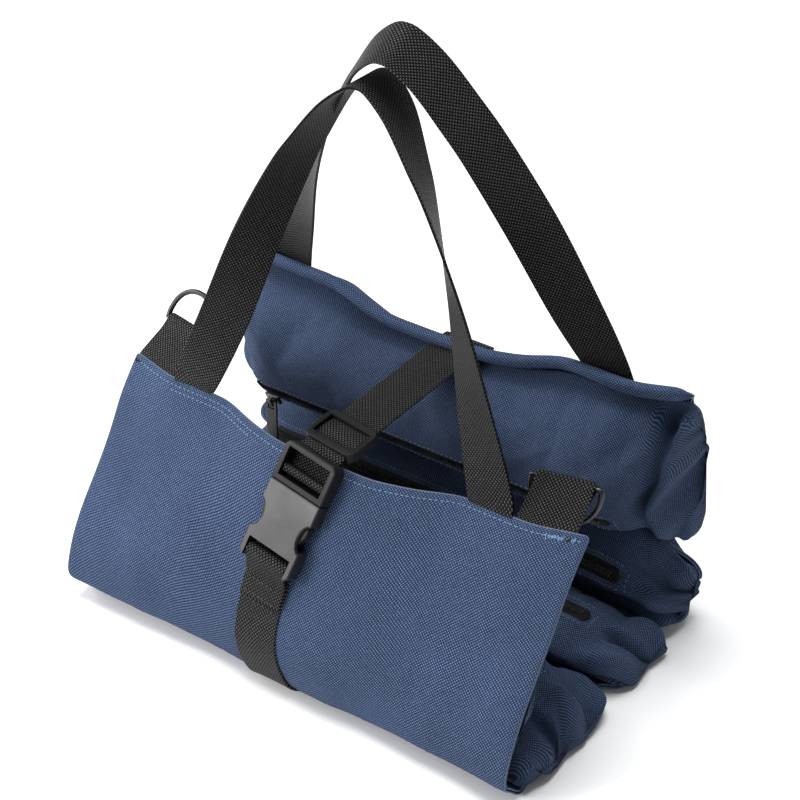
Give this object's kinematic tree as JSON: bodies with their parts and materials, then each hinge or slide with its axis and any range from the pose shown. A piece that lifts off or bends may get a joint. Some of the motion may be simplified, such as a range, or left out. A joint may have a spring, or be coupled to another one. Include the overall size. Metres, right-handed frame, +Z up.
{
  "type": "tool roll",
  "caption": "Canvas tool roll curled into a carrying bundle, with zipped pockets inside, two webbing handles, D-rings on tabs and a buckled strap over the open top.",
  "frame": {"origin": "centre of the bounding box on the ground, under the roll", "axes": "+X along the roll to the right as seen from the flap, +Y from the flap to the rear edge, +Z up"},
  "size_m": [0.362, 0.2349, 0.4011],
  "materials": {
    "canvas": "plain-weave waxed canvas, matt",
    "canvas_inner": "plain-weave canvas, matt",
    "webbing": "ribbed woven webbing",
    "zip_tape": "woven tape",
    "zip_coil": "nylon coil",
    "buckle_plastic": "moulded, satin",
    "dark_plastic": "moulded, matt",
    "gunmetal": "dark plated"
  },
  "bodies": {
    "front_base": {"front_flap": "canvas", "bottom_panel": "canvas", "pocket_1": "canvas_inner", "zip_tape_1": "zip_tape", "zip_coil_1": "zip_coil", "pocket_2": "canvas_inner", "zip_tape_2": "zip_tape", "zip_coil_2": "zip_coil", "pocket_3": "canvas_inner", "zip_tape_3": "zip_tape", "zip_coil_3": "zip_coil", "pocket_4": "canvas_inner", "zip_tape_4": "zip_tape", "zip_coil_4": "zip_coil", "left_tab": "webbing", "right_tab": "webbing", "lower_strap": "webbing", "under_strap": "webbing", "buckle_socket": "buckle_plastic"},
    "front_handle": {"front_handle": "webbing"},
    "rear": {"rear_panel": "canvas", "pocket_5": "canvas_inner", "zip_tape_5": "zip_tape", "zip_coil_5": "zip_coil", "rear_strap": "webbing"},
    "rear_handle": {"rear_handle": "webbing"},
    "strap": {"upper_strap": "webbing", "buckle_plug": "buckle_plastic"},
    "adjuster": {"strap_adjuster": "dark_plastic"},
    "left_prong": {"left_prong": "buckle_plastic"},
    "right_prong": {"right_prong": "buckle_plastic"},
    "left_d_ring": {"left_d_ring": "gunmetal"},
    "right_d_ring": {"right_d_ring": "gunmetal"},
    "slider_1": {"zip_slider_1": "gunmetal"},
    "puller_1": {"zip_puller_1": "dark_plastic"},
    "slider_2": {"zip_slider_2": "gunmetal"},
    "puller_2": {"zip_puller_2": "dark_plastic"},
    "slider_3": {"zip_slider_3": "gunmetal"},
    "puller_3": {"zip_puller_3": "dark_plastic"},
    "slider_4": {"zip_slider_4": "gunmetal"},
    "puller_4": {"zip_puller_4": "dark_plastic"},
    "slider_5": {"zip_slider_5": "gunmetal"},
    "puller_5": {"zip_puller_5": "dark_plastic"}
  },
  "joints": [
    {"name": "front_handle_swing", "type": "hinge", "parent": "front_base", "child": "front_handle", "pos_m": [-0.004, -0.04247, 0.15224], "axis": [1, 0, 0], "range_deg": [0, 105]},
    {"name": "rear_fold", "type": "hinge", "parent": "front_base", "child": "rear", "pos_m": [0, 0.1119, 0.088], "axis": [-1, 0, 0], "range_deg": [0, 90], "deforming": ["left_prong", "right_prong"]},
    {"name": "rear_handle_swing", "type": "hinge", "parent": "rear", "child": "rear_handle", "pos_m": [0.001, 0.07164, 0.18772], "axis": [-1, 0, 0], "range_deg": [0, 105]},
    {"name": "strap_swing", "type": "hinge", "parent": "rear", "child": "strap", "pos_m": [0.016, 0.0663, 0.17916], "axis": [-1, 0, 0], "range_deg": [0, 110], "deforming": ["left_prong", "right_prong"]},
    {"name": "adjuster_slide", "type": "slide", "parent": "strap", "child": "adjuster", "axis": [0.1375, 0.9704, 0.1983], "range_m": [0, 0.08]},
    {"name": "left_prong_squeeze", "type": "hinge", "parent": "strap", "child": "left_prong", "pos_m": [-0.01706, -0.07486, 0.13265], "axis": [0, -0.875, 0.4842], "range_deg": [0, 14], "stiffness_Nm_per_rad": 0.5},
    {"name": "right_prong_squeeze", "type": "hinge", "parent": "strap", "child": "right_prong", "pos_m": [0.00506, -0.07656, 0.12958], "axis": [0, -0.875, 0.4842], "range_deg": [-14, 0], "stiffness_Nm_per_rad": 0.5},
    {"name": "left_d_ring_swing", "type": "hinge", "parent": "front_base", "child": "left_d_ring", "pos_m": [-0.1489, -0.0122, 0.1668], "axis": [0.9809, -0.1885, -0.0481], "range_deg": [-185, 125]},
    {"name": "right_d_ring_swing", "type": "hinge", "parent": "front_base", "child": "right_d_ring", "pos_m": [0.14237, -0.01043, 0.16227], "axis": [0.9885, 0.1468, 0.0374], "range_deg": [-25, 285]},
    {"name": "zip_1_slide", "type": "slide", "parent": "front_base", "child": "slider_1", "axis": [-1, 0, 0], "range_m": [0, 0.225]},
    {"name": "zip_2_slide", "type": "slide", "parent": "front_base", "child": "slider_2", "axis": [1, 0, 0], "range_m": [0, 0.225]},
    {"name": "zip_3_slide", "type": "slide", "parent": "front_base", "child": "slider_3", "axis": [-1, 0, 0], "range_m": [0, 0.201]},
    {"name": "zip_4_slide", "type": "slide", "parent": "front_base", "child": "slider_4", "axis": [1, 0, 0], "range_m": [0, 0.201]},
    {"name": "zip_5_slide", "type": "slide", "parent": "rear", "child": "slider_5", "axis": [1, 0, 0], "range_m": [0, 0.24]},
    {"name": "puller_1_swing", "type": "hinge", "parent": "slider_1", "child": "puller_1", "pos_m": [0.12, -0.0832, 0.05307], "axis": [1, 0, 0], "range_deg": [0, 84]},
    {"name": "puller_2_swing", "type": "hinge", "parent": "slider_2", "child": "puller_2", "pos_m": [-0.12, -0.03246, 0.04628], "axis": [-1, 0, 0], "range_deg": [0, 150]},
    {"name": "puller_3_swing", "type": "hinge", "parent": "slider_3", "child": "puller_3", "pos_m": [0.107, 0.02619, 0.04723], "axis": [-1, 0, 0], "range_deg": [0, 150]},
    {"name": "puller_4_swing", "type": "hinge", "parent": "slider_4", "child": "puller_4", "pos_m": [-0.107, 0.05357, 0.05477], "axis": [-1, 0, 0], "range_deg": [0, 84]},
    {"name": "puller_5_swing", "type": "hinge", "parent": "slider_5", "child": "puller_5", "pos_m": [-0.12, 0.03356, 0.09896], "axis": [-1, 0, 0], "range_deg": [-30, 150]}
  ],
  "couplings": [
    {"joint": "right_prong_squeeze", "follows": "left_prong_squeeze", "ratio": -1}
  ]
}
